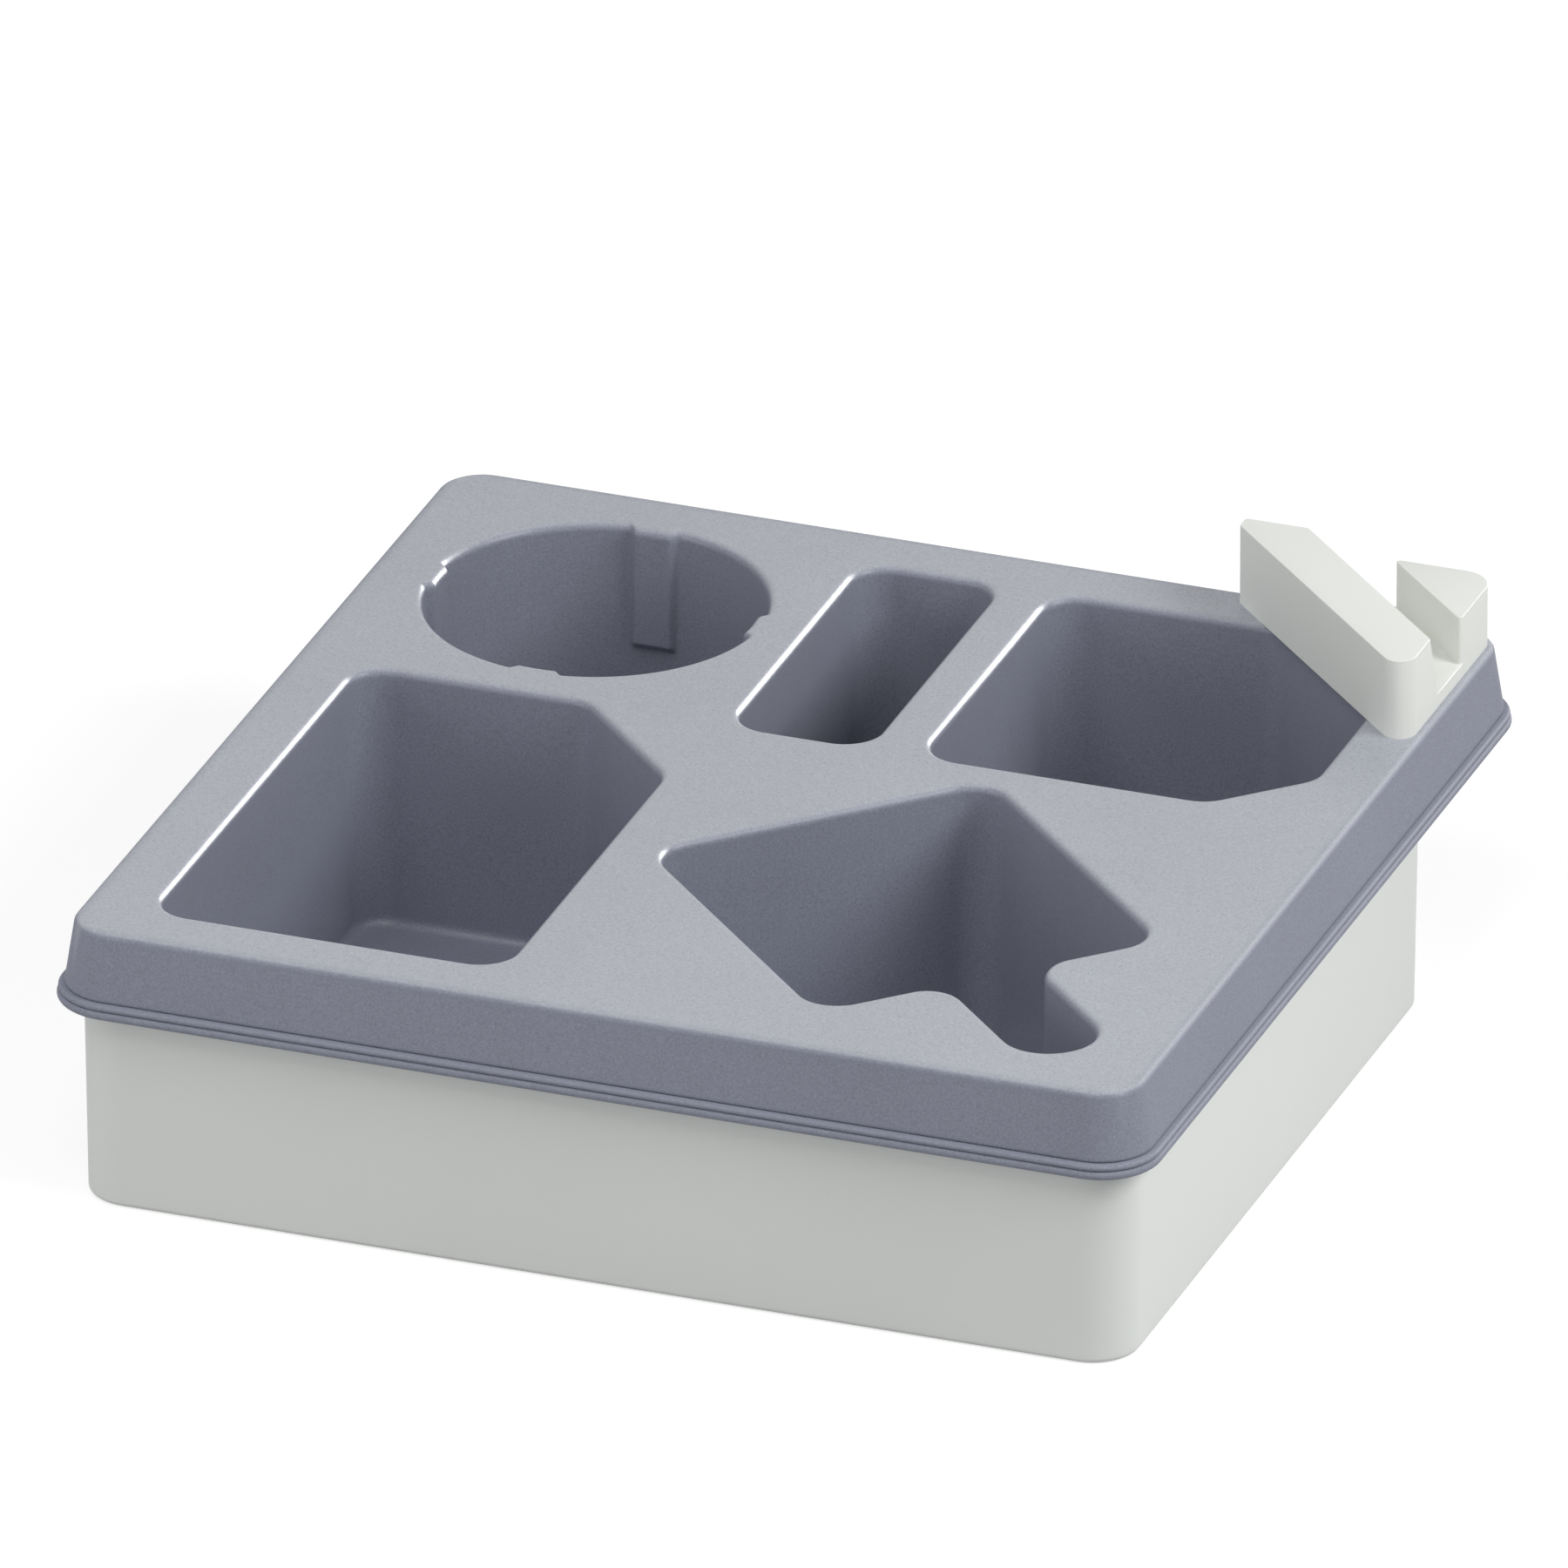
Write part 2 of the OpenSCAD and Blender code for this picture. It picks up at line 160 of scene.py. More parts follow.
class TraySizes(bpy.types.PropertyGroup):
    """Sizes of the silicone tray and its pockets"""

    deck_width: size("Deck width", "Width and depth of the flat deck", 0.320)
    deck_height: size("Deck height", "Height of the deck above the surface", 0.0864)
    deck_radius: size("Deck corners", "Plan radius of the deck corners", 0.013)
    deck_edge: size("Deck edge", "Radius of the rounded edge round the deck", 0.002)
    deck_thickness: size("Deck thickness", "Thickness of the deck", 0.003)
    skirt_thickness: size("Skirt thickness", "Thickness of the skirt", 0.003)
    skirt_depth: size("Skirt depth", "Depth of the sloping skirt", 0.0204)
    skirt_flare: size("Skirt flare", "How far the skirt slopes outwards", 0.00275)
    flange_height: size("Flange height", "Height of the beaded flange", 0.0044)
    flange_reach: size("Flange reach", "Reach of the flange beyond the deck", 0.005)
    bead_height: size("Upper bead", "Height of the upper bead of the flange", 0.0019)
    bead_depth: size("Bead depth", "How far each bead stands proud", 0.001)
    web: size("Web", "Thickness of the web under the skirt", 0.003)
    lip_thickness: size("Lip thickness", "Thickness of the lip inside the box", 0.0025)
    lip_depth: size("Lip depth", "Depth of the lip below the flange", 0.005)
    lip_gap: size("Lip clearance", "Clearance between the lip and the box", 0.0004)
    side_margin: size("Side margin", "Deck edge to pockets, left and right", 0.020)
    end_margin: size("End margin", "Deck edge to pockets, front and back", 0.0195)
    pocket_depth: size("Pocket depth", "Depth of every pocket", 0.0803)
    pocket_wall: size("Pocket wall", "Wall thickness of the pockets", 0.0025)
    pocket_radius: size("Pocket corners", "Plan radius of the pocket corners", 0.011)
    rim_radius: size("Rim", "Radius of the rounded pocket rims", 0.0025)
    pocket_draft: size("Pocket draft", "How far a pocket wall leans in", 0.0012)
    floor_radius: size("Floor fillet", "Radius between pocket wall and floor", 0.003)
    cup_diameter: size("Tumbler pocket", "Inside diameter of the round pocket", 0.099)
    cup_margin: size("Tumbler margin", "Deck edges to the round pocket", 0.0184)
    rib_width: size("Rib width", "Width of each grip rib", 0.013)
    rib_depth: size("Rib depth", "How far a grip rib stands in", 0.0025)
    rib_length: size("Rib length", "Length of a grip rib below the deck", 0.0385)
    remote_width: size("Remote slot", "Width of the slot for a remote", 0.042)
    row_depth: size("Back row", "Length of the two back pockets", 0.1124)
    snack_width: size("Snack pocket", "Width of the snack pocket", 0.1102)
    row_land: size("Back row land", "Land between the two back pockets", 0.016)
    snack_front_cut: size("Snack front cut", "Leg of the cut front corner", 0.0243)
    snack_back_cut: size("Snack back cut", "Leg of the cut back corner", 0.043)
    can_width: size("Can pocket width", "Width of the can pocket", 0.1057)
    can_length: size("Can pocket length", "Length of the can pocket", 0.169)
    can_cut: size("Can pocket cut", "Leg of its cut corner", 0.0372)
    mug_length: size("Mug pocket length", "Diamond along its handle slot", 0.1124)
    mug_width: size("Mug pocket width", "Diamond across its handle slot", 0.106)
    mug_right: size("Mug from the right", "Right deck edge to its middle", 0.104)
    mug_front: size("Mug from the front", "Front deck edge to its middle", 0.102)
    handle_width: size("Handle slot width", "Width of the handle slot", 0.0267)
    handle_length: size("Handle slot length", "Handle slot beyond the diamond", 0.0528)


class BoxSizes(bpy.types.PropertyGroup):
    """Sizes of the storage box"""

    overhang: size("Overhang", "How far the flange reaches beyond the box", 0.0067)
    wall: size("Wall", "Wall thickness of the box", 0.003)
    floor: size("Floor", "Floor thickness of the box", 0.003)
    corner_radius: size("Corners", "Plan radius of the box corners", 0.015)
    draft: size("Draft", "How far each wall leans in at the bottom", 0.0009)
    edge: size("Bottom edge", "Radius of the bottom edge", 0.0016)
    rim: size("Rim", "Radius of the rim's edges", 0.0004)
    corner_gap: size("Corner gap", "Snack pocket's cut corner to the box's", 0.0096)
    foot_width: size("Standing rim", "Width of the standing rim", 0.012)
    foot_height: size("Recess", "Depth of the recess in the underside", 0.0008)


class HolderSizes(bpy.types.PropertyGroup):
    """Sizes of the phone holder and its pegs"""

    inset: size("Inset", "Deck edges to the holder's outer faces", 0.0025)
    reach: size("Reach", "Depth of the holder across its diagonal", 0.0572)
    bar_height: size("Bar height", "Height of the front bar", 0.0246)
    bar_thickness: size("Bar thickness", "Thickness of the bar at its top", 0.017)
    bar_lean: size("Bar lean", "How far the back of the bar leans", 0.0046)
    slot_floor: size("Slot floor", "Height of the slot's floor above the deck", 0.0042)
    slot_width: size("Slot width", "Width of the slot at its floor", 0.0135)
    back_height: size("Back height", "Height of the block behind the slot", 0.019)
    outer_radius: size("Outer corner", "Plan radius over the tray's corner", 0.009)
    bar_radius: size("Bar corner", "Plan radius of the bar's right corner", 0.005)
    tip_width: size("Blunt end", "Width of the bar's blunt end", 0.005)
    edge: size("Edges", "Radius of the holder's edges", 0.0009)
    tip_rounding: size("Block tips", "Width cut from the block's two sharp tips", 0.003)
    small_radius: size("Small corners", "Plan radius of the blunt end's corners", 0.0012)
    peg_diameter: size("Pegs", "Diameter of the two pegs", 0.007)
    peg_length: size("Peg length", "Length of the pegs", 0.004)
    peg_gap: size("Peg clearance", "Clearance round and under a peg", 0.0003)
    socket_wall: size("Socket wall", "Wall round a peg's socket", 0.0026)
    peg_back: size("Peg setback", "Front face of the holder to the pegs", 0.0124)
    peg_spread: size("Peg spread", "Each peg from the middle of the bar", 0.028)


class Finishes(bpy.types.PropertyGroup):
    """Colours of the silicone and the plastics"""

    # Painted light: the deck's upward faces get this paler colour in place of the light and sheen that the
    # top catches
    silicone_painted_lit_top: colour("Silicone, top", "Fine matt deck of the tray", (0.394, 0.411, 0.457))
    silicone_side: colour("Silicone, sides", "Smooth walls of the tray", (0.262, 0.276, 0.336))
    box_plastic: colour("Box", "Moulded plastic of the storage box", (0.785, 0.81, 0.782))
    holder_plastic: colour("Holder", "Moulded plastic of the phone holder", (0.80, 0.817, 0.777))


# Outlines


def arc_from(bm, first, middle, turn, steps):
    """Spin a point about a middle. Returns the points of the arc, the first one included."""
    edges = set(first.link_edges)
    bmesh.ops.spin(
        bm, geom=[first], cent=(middle[0], middle[1], 0), axis=(0, 0, 1), dvec=(0, 0, 0), angle=turn,
        space=Matrix.Identity(4), steps=steps, use_duplicate=False,
    )
    points = [first]
    for _ in range(steps):
        edge = next(e for e in points[-1].link_edges if e not in edges)
        edges.add(edge)
        points.append(edge.other_vert(points[-1]))
    return points


def rounded_outline(bm, corners):
    """Draw an outline whose corners are x, y and radius, each spun from one point.

    Returns its spots in order: point, place, outward way and rib share. A long side gets a spot near
    each end.
    """
    chains = []
    count = len(corners)
    for i, (x, y, radius) in enumerate(corners):
        corner = Vector((x, y, 0))
        inward = (corner - Vector((*corners[i - 1][:2], 0))).normalized()
        onward = (Vector((*corners[(i + 1) % count][:2], 0)) - corner).normalized()
        turn = math.atan2(inward.x * onward.y - inward.y * onward.x, inward.dot(onward))
        outward = Vector((inward.y, -inward.x, 0))
        if not radius:
            chains.append([(bm.verts.new(corner), corner, outward, 0.0)])
            continue
        side = 1 if turn > 0 else -1
        first = corner - inward * radius * math.tan(abs(turn) / 2)
        middle = first - outward * radius * side
        steps = max(2, math.ceil(PLAN_STEPS * abs(turn) / (math.pi / 2)))
        if radius < SMALL_CORNER:
            steps = max(2, steps // 3)
        spun = arc_from(bm, bm.verts.new(first), middle, turn, steps)
        chains.append([(v, v.co.copy(), (v.co - middle) * side / radius, 0.0) for v in spun])
    spots = []
    for i, chain in enumerate(chains):
        spots += chain
        following = chains[(i + 1) % count]
        (_, here, way, _), (_, there, far_way, _) = chain[-1], following[0]
        along = there - here
        if along.length > SHORT_SIDE:
            step = along.normalized() * SUPPORT
            for spot, near, bend in ((here + step, way, chain), (there - step, far_way, following)):
                if len(bend) > 1:
                    spots.append((bm.verts.new(spot), spot, near, 0.0))
    return spots


def round_outline(bm, middle, radius, steps=PEG_STEPS):
    """Draw a circle. Returns its spots as a rounded outline does."""
    centre = Vector((*middle, 0))
    made = bmesh.ops.create_circle(
        bm, cap_ends=False, radius=radius, segments=steps, matrix=Matrix.Translation(centre)
    )
    return [(v, v.co.copy(), (v.co - centre).normalized(), 0.0) for v in made["verts"]]


def arc(middle_height, middle_reach, radius, start, end, steps=ROUND_STEPS):
    """Heights and reaches along a rounded edge, between two angles in degrees."""
    angles = [math.radians(start + (end - start) * k / steps) for k in range(steps + 1)]
    return [(middle_height + radius * math.sin(a), middle_reach + radius * math.cos(a)) for a in angles]


def supported(levels):
    """The levels with an extra one near each end of every long stretch, which keeps the shading crisp."""
    out = [levels[0]]
    for a, b in zip(levels, levels[1:]):
        length = math.hypot(b[0] - a[0], b[1] - a[1])
        if length > SHORT_SIDE:
            for share in (SUPPORT / length, 1 - SUPPORT / length):
                out.append(tuple(p + (q - p) * share for p, q in zip(a, b)))
        out.append(b)
    return out


def put(verts, spots, height, reach, rib=0.0):
    """Move an outline's points to a height and an outward reach, with its ribs standing in."""
    for vert, (_, place, way, share) in zip(verts, spots):
        spot = place + way * (reach - rib * share)
        vert.co = (spot.x, spot.y, height)


def skin(bm, outline, levels, closed=False):
    """Extrude an outline from level to level and add it to the mesh. The last loop may be closed flat.

    The outline is a function that draws it, followed by what it draws.
    """
    part = bmesh.new()
    draw, *what = outline
    spots = draw(part, *what)
    verts = [spot[0] for spot in spots]
    edges = [part.edges.get(pair) or part.edges.new(pair) for pair in zip(verts, verts[1:] + verts[:1])]
    levels = supported(levels)
    put(verts, spots, *levels[0])
    for level in levels[1:]:
        made = bmesh.ops.extrude_edge_only(part, edges=edges)["geom"]
        fresh = {v for v in made if isinstance(v, bmesh.types.BMVert)}
        verts = [next(o for o in (e.other_vert(v) for e in v.link_edges) if o in fresh) for v in verts]
        edges = [part.edges.get(pair) for pair in zip(verts, verts[1:] + verts[:1])]
        put(verts, spots, *level)
    if closed:
        plane(part, edges)
    mesh = bpy.data.meshes.new("part")
    part.to_mesh(mesh)
    part.free()
    bm.from_mesh(mesh)
    bpy.data.meshes.remove(mesh)


def plane(bm, edges):
    """Fill the flat area between loops of edges."""
    bmesh.ops.triangle_fill(bm, use_beauty=True, use_dissolve=False, edges=edges, normal=(0, 0, 1))


def plane_at(bm, height):
    """Fill the flat area between all the open loops at a height."""
    plane(bm, [e for e in bm.edges if e.is_boundary and all(abs(v.co.z - height) < SAME for v in e.verts)])


def finished(bm, name, body, node, material):
    """Make the mesh a smooth object that stands for a CAD node and rides on its body."""
    bmesh.ops.remove_doubles(bm, verts=bm.verts, dist=SAME)
    bmesh.ops.recalc_face_normals(bm, faces=bm.faces)
    open_edges = [e for e in bm.edges if not e.is_manifold]
    if open_edges:
        raise RuntimeError(f"{name} has {len(open_edges)} open edges")
    if bm.calc_volume(signed=True) < 0:
        bmesh.ops.reverse_faces(bm, faces=bm.faces)
    for face in bm.faces:
        face.smooth = True
    for edge in bm.edges:
        edge.smooth = edge.calc_face_angle(0) < SHARP_FROM
    mesh = bpy.data.meshes.new(name)
    bm.to_mesh(mesh)
    bm.free()
    made = bpy.data.objects.new(name, mesh)
    bpy.context.scene.collection.objects.link(made)
    mesh.materials.append(material)
    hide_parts(node)
    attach(made, body)
    return made


# Plans, each a list of x, y and radius, anticlockwise


class Plan:
    """Where the tray's pockets, the box and the holder lie, worked out from the sizes."""

    def __init__(self, scene):
        t, b, h = scene.tray_sizes, scene.box_sizes, scene.holder_sizes
        half = t.deck_width / 2
        right, left = half - t.side_margin, t.side_margin - half
        back, front = half - t.end_margin, t.end_margin - half
        row = back - t.row_depth
        r = t.pocket_radius
        snack_line = right + back - t.snack_back_cut
        snack_left = right - t.snack_width
        remote_right = snack_left - t.row_land
        remote_left = remote_right - t.remote_width
        self.remote = [
            (remote_left, row, r), (remote_right, row, r), (remote_right, back, r), (remote_left, back, r),
        ]
        self.snack = [
            (snack_left, row, r), (right - t.snack_front_cut, row, r), (right, row + t.snack_front_cut, r),
            (right, snack_line - right, r), (snack_line - back, back, r), (snack_left, back, r),
        ]
        can_right, can_back = left + t.can_width, front + t.can_length
        self.can = [
            (left, front, r), (can_right, front, r), (can_right, can_back - t.can_cut, r),
            (can_right - t.can_cut, can_back, r), (left, can_back, r),
        ]
        length, width, handle = t.mug_length / 2, t.mug_width / 2, t.handle_width / 2
        tip, tip_radius = length + t.handle_length, handle - ROUND_END_GAP
        mug_x, mug_y = half - t.mug_right, t.mug_front - half
        self.mug = [
            (mug_x + (along + across) / ROOT2, mug_y + (across - along) / ROOT2, radius)
            for along, across, radius in (
                (-length, -width, r), (length, -width, r), (length, -handle, r),
                (tip, -handle, tip_radius), (tip, handle, tip_radius),
                (length, handle, r), (length, width, r), (-length, width, r),
            )
        ]
        self.cup_radius = t.cup_diameter / 2
        self.cup = (self.cup_radius + t.cup_margin - half, half - t.cup_margin - self.cup_radius)
        self.deck = [
            (x, y, t.deck_radius) for x, y in ((-half, -half), (half, -half), (half, half), (-half, half))
        ]
        self.seat = t.deck_height - t.skirt_depth - t.flange_height
        self.floor = t.deck_height - t.pocket_depth
        box = half + t.flange_reach - b.overhang
        box_line = snack_line + b.corner_gap * ROOT2
        self.box = [
            (x, y, b.corner_radius)
            for x, y in ((-box, -box), (box, -box), (box, box_line - box), (box_line - box, box), (-box, box))
        ]
        face = half - h.inset
        line = 2 * face - h.reach * ROOT2
        self.holder_face = face
        self.bar_foot = line + (h.bar_thickness + h.bar_lean) * ROOT2
        self.bar_top = line + h.bar_thickness * ROOT2
        self.block = self.bar_foot + h.slot_width * ROOT2
        self.holder = [
            (line - face + h.tip_width, face - h.tip_width, h.small_radius),
            (face, line - face, h.bar_radius),
            (face, self.bar_foot - face, 0),
            (face, self.block - face, 0),
            (face, face, h.outer_radius),
            (self.block - face, face, 0),
            (self.bar_foot - face, face, 0),
            (line - face + h.tip_width, face, h.small_radius),
        ]
        across = line / ROOT2 + h.peg_back
        self.pegs = [
            ((across - along) / ROOT2, (across + along) / ROOT2) for along in (-h.peg_spread, h.peg_spread)
        ]


# The tray


def pocket_levels(t, floor):
    """Heights and reaches from the deck, over the rim, down the wall and out onto the floor."""
    rim = arc(t.deck_height - t.rim_radius, t.rim_radius, t.rim_radius, 90, 180)
    fillet = arc(floor + t.floor_radius, -t.pocket_draft - t.floor_radius, t.floor_radius, 0, -90)
    outer = (t.deck_height, t.rim_radius + SUPPORT)
    inner = (floor, -t.pocket_draft - t.floor_radius - SUPPORT)
    return [outer] + rim + fillet + [inner]


def shell_levels(t, floor):
    """Heights and reaches down the outside of a pocket."""
    low = floor - t.pocket_wall
    reach = t.pocket_wall - t.pocket_draft
    r = t.floor_radius / 2
    fillet = arc(low + r, reach - r, r, 0, -90, HIDDEN_STEPS)
    return [(t.deck_height - t.deck_thickness, t.pocket_wall)] + fillet + [(low, reach - r - SUPPORT)]


def cup_outline(bm, plan, t):
    """Draw the round pocket section by section: each rib's face, its two smooth flanks and the land."""
    middle = Vector((*plan.cup, 0))
    face = 2 * math.asin(t.rib_width / t.cup_diameter) - RIB_FLANK
    land = 2 * math.pi / RIBS - face - 2 * RIB_FLANK
    start = -face / 2
    last = bm.verts.new(middle + plan.cup_radius * Vector((math.cos(start), math.sin(start), 0)))
    spots = []
    for _ in range(RIBS):
        for turn, steps, share in (
            (face, RIB_STEPS, lambda s: 1.0),
            (RIB_FLANK, RIB_STEPS, lambda s: 1 - s * s * (3 - 2 * s)),
            (land, LAND_STEPS, lambda s: 0.0),
            (RIB_FLANK, RIB_STEPS, lambda s: s * s * (3 - 2 * s)),
        ):
            *points, last = arc_from(bm, last, middle, turn, steps)
            spots += [
                (v, v.co.copy(), (v.co - middle).normalized(), share(k / steps)) for k, v in enumerate(points)
            ]
    bm.verts.remove(last)
    return spots


def cup_levels(t, floor, levels):
    """The pocket's levels with its ribs, which run from the rim down to their rounded lower ends."""
    rib_end = t.deck_height - t.rib_length
    wall_top, wall_foot = t.deck_height - t.rim_radius, floor + t.floor_radius
    ribs = []
    for k in range(RIB_STEPS + 1):
        turn = math.pi / 2 * k / RIB_STEPS
        height = rib_end + RIB_END * math.cos(turn)
        reach = -t.pocket_draft * (wall_top - height) / (wall_top - wall_foot)
        ribs.append((height, reach, t.rib_depth * (1 - (1 - math.cos(turn)) ** RIB_END_POWER)))
    out = []
    for height, reach in levels:
        if height < wall_foot + SAME and out[-1][0] > wall_top - SAME:
            out += ribs
        out.append((height, reach, t.rib_depth if height > wall_top - SAME else 0.0))
    return out


def outside_levels(t, seat):
    """Heights and reaches from the deck down over its edge, the skirt and the two beads of the flange."""
    deck = t.deck_height
    foot = deck - t.skirt_depth
    edge = arc(deck - t.deck_edge, -t.deck_edge, t.deck_edge, 90, 0)
    groove = [(foot + height, t.skirt_flare - inset) for height, inset in GROOVE]
    lower_height = t.flange_height - t.bead_height
    levels = [(deck, -t.deck_edge - SUPPORT)] + edge + groove
    for bottom, height, reach in (
        (seat + lower_height, t.bead_height, t.flange_reach - UPPER_BEAD_INSET),
        (seat, lower_height, t.flange_reach),
    ):
        for k in range(BEAD_STEPS + 1):
            a = BEAD_FROM + (BEAD_TO - BEAD_FROM) * k / BEAD_STEPS
            levels.append((
                bottom + height / 2 + height / 2 * math.sin(a),
                reach - t.bead_depth * (1 - math.cos(a)),
            ))
    return levels


class TRAY_OT_silicone(bpy.types.Operator):
    """Build the silicone tray with its five pockets, skirt, flange and lip"""

    bl_idname = "sofa_tray.silicone_tray"
    bl_label = "Silicone tray"
    bl_options = {"REGISTER", "UNDO"}

    def execute(self, context):
        scene = context.scene
        t, b, h = scene.tray_sizes, scene.box_sizes, scene.holder_sizes
        plan = Plan(scene)
        bm = bmesh.new()
        deck, under = t.deck_height, t.deck_height - t.deck_thickness
        pockets = [(rounded_outline, corners) for corners in (plan.remote, plan.snack, plan.can, plan.mug)]
        down = pocket_levels(t, plan.floor)
        for outline in pockets:
            skin(bm, outline, down, closed=True)
        skin(bm, (cup_outline, plan, t), cup_levels(t, plan.floor, down), closed=True)
        socket = h.peg_diameter / 2 + h.peg_gap
        depth = h.peg_length + h.peg_gap
        socket_levels = [(deck, FINE_CHAMFER), (deck - FINE_CHAMFER, 0.0), (deck - depth, 0.0)]
        for peg in plan.pegs:
            skin(bm, (round_outline, peg, socket), socket_levels, closed=True)
        outside = outside_levels(t, plan.seat)
        skin(bm, (rounded_outline, plan.deck), outside)
        plane_at(bm, deck)
        # The underside: the flange, the lip inside the box, the web and the hollow under the deck
        flange_foot = outside[-1][0]
        outer, inner = -b.wall - t.lip_gap, -b.wall - t.lip_gap - t.lip_thickness
        web_top = plan.seat + t.web
        lip_foot = plan.seat - t.lip_depth
        r = t.lip_thickness * LIP_ROUND
        lip_levels = (
            [(flange_foot, outer)] + arc(lip_foot + r, outer - r, r, 0, -90, HIDDEN_STEPS)
            + arc(lip_foot + r, inner + r, r, -90, -180, HIDDEN_STEPS) + [(web_top, inner)]
        )
        skin(bm, (rounded_outline, plan.box), lip_levels)
        plane_at(bm, flange_foot)
        skin(bm, (rounded_outline, plan.deck), [(web_top, -t.skirt_thickness), (under, -t.skirt_thickness)])
        plane_at(bm, web_top)
        down = shell_levels(t, plan.floor)
        for outline in pockets:
            skin(bm, outline, down, closed=True)
        skin(bm, (round_outline, plan.cup, plan.cup_radius, CUP_STEPS), down, closed=True)
        boss = socket + h.socket_wall
        boss_levels = [(under, 0.0), (deck - depth - h.socket_wall, 0.0)]
        for peg in plan.pegs:
            skin(bm, (round_outline, peg, boss), boss_levels, closed=True)
        plane_at(bm, under)
        finished(bm, "silicone_tray", "tray", "tray", silicone(scene.finishes))
        return {"FINISHED"}


# The storage box


class TRAY_OT_box(bpy.types.Operator):
    """Build the shallow storage box that the tray sits on"""

    bl_idname = "sofa_tray.storage_box"
    bl_label = "Storage box"
    bl_options = {"REGISTER", "UNDO"}

    def execute(self, context):
        scene = context.scene
        b = scene.box_sizes
        plan = Plan(scene)
        bm = bmesh.new()
        foot = -b.draft - b.foot_width
        floor_r = scene.tray_sizes.floor_radius
        levels = (
            [(b.foot_height, foot - SUPPORT), (b.foot_height, foot), (FINE_CHAMFER, foot)]
            + [(0.0, foot + FINE_CHAMFER), (0.0, -b.draft - b.edge - SUPPORT)]
            + arc(b.edge, -b.draft - b.edge, b.edge, -90, 0)
            + arc(plan.seat - b.rim, -b.rim, b.rim, 0, 90, HIDDEN_STEPS)
            + arc(plan.seat - b.rim, -b.wall + b.rim, b.rim, 90, 180, HIDDEN_STEPS)
            + arc(b.floor + floor_r, -b.wall - b.draft - floor_r, floor_r, 0, -90)
            + [(b.floor, -b.wall - b.draft - floor_r - SUPPORT)]
        )
        skin(bm, (rounded_outline, plan.box), levels, closed=True)
        plane_at(bm, b.foot_height)
        finished(
            bm, "storage_box", "box", "base_box",
            moulded_plastic("box_plastic", scene.finishes.box_plastic),
        )
        return {"FINISHED"}


# The phone holder


def vert_at(bm, x, y, z):
    """The point of the mesh at a place."""
    place = Vector((x, y, z))
    return min(bm.verts, key=lambda v: (v.co - place).length_squared)


def sharp_above(bm, height):
    """The outward corners that lie at or above a height."""
    return [
        e for e in bm.edges
        if e.is_manifold and e.is_convex and min(v.co.z for v in e.verts) > height - SAME
        and e.calc_face_angle(0) > CORNER_FROM
    ]


def rounded(bm, edges, offset):
    """Round edges off, by the width that comes off each of their faces."""
    bmesh.ops.bevel(
        bm, geom=edges, offset=offset, offset_type="OFFSET", segments=CORNER_STEPS, profile=0.5,
        affect="EDGES", material=-1, clamp_overlap=True, loop_slide=True,
    )


class TRAY_OT_holder(bpy.types.Operator):
    """Build the phone holder with its slanted slot and its two pegs"""

    bl_idname = "sofa_tray.phone_holder"
    bl_label = "Phone holder"
    bl_options = {"REGISTER", "UNDO"}

    def execute(self, context):
        scene = context.scene
        h = scene.holder_sizes
        plan = Plan(scene)
        deck = scene.tray_sizes.deck_height
        face = plan.holder_face
        floor = deck + h.slot_floor
        bm = bmesh.new()
        skin(bm, (rounded_outline, plan.holder), [(deck, 0.0), (floor, 0.0)])
        # The two pegs hang from the underside
        peg_foot = deck - h.peg_length
        peg_levels = [(deck, 0.0), (peg_foot + PEG_CHAMFER, 0.0), (peg_foot, -PEG_CHAMFER)]
        for peg in plan.pegs:
            skin(bm, (round_outline, peg, h.peg_diameter / 2), peg_levels, closed=True)
        plane_at(bm, deck)
        # The slot's two feet divide the top, and the bar and the block are drawn up from it
        bmesh.ops.contextual_create(bm, geom=[e for e in bm.edges if e.is_boundary])
        for line in (plan.bar_foot, plan.block):
            ends = [vert_at(bm, face, line - face, floor), vert_at(bm, line - face, face, floor)]
            bmesh.ops.connect_verts(bm, verts=ends)
        flat = [f for f in bm.faces if all(abs(v.co.z - floor) < SAME for v in f.verts)]
        for part in flat:
            middle = part.calc_center_median()
            line = middle.x + middle.y
            if plan.bar_foot < line < plan.block:
                continue
            is_bar = line <= plan.bar_foot
            height = (h.bar_height if is_bar else h.back_height) - h.slot_floor
            drawn = bmesh.ops.extrude_face_region(bm, geom=[part])["geom"]
            if part.is_valid:
                bmesh.ops.delete(bm, geom=[part], context="FACES_KEEP_BOUNDARY")
            raised = [v for v in drawn if isinstance(v, bmesh.types.BMVert)]
            bmesh.ops.translate(bm, verts=raised, vec=(0, 0, height))
            if is_bar:
                # The back of the bar leans forward as it rises
                for v in raised:
                    if abs(v.co.x + v.co.y - plan.bar_foot) < SAME:
                        shift = plan.bar_top - plan.bar_foot
                        on_right = abs(v.co.x - face) < SAME
                        v.co += Vector((0, shift, 0) if on_right else (shift, 0, 0))
        bmesh.ops.recalc_face_normals(bm, faces=bm.faces)
        block_tips = [
            e for e in sharp_above(bm, floor)
            if all(abs(v.co.x + v.co.y - plan.block) < SAME for v in e.verts)
            and (e.verts[0].co - e.verts[1].co).to_2d().length < SAME
        ]
        rounded(bm, block_tips, h.tip_rounding)
        rounded(bm, sharp_above(bm, floor), h.edge)
        finished(
            bm, "phone_rest", "holder", "phone_holder",
            moulded_plastic("holder_plastic", scene.finishes.holder_plastic),
        )
        return {"FINISHED"}


# Materials


def new_material(name):
    """A new node material, with its shader and the object's own coordinates."""
    material = bpy.data.materials.new(name)
    material.use_nodes = True
    nodes, links = material.node_tree.nodes, material.node_tree.links
    shader = nodes["Principled BSDF"]
    place = nodes.new("ShaderNodeTexCoord")
    return material, nodes, links, shader, place


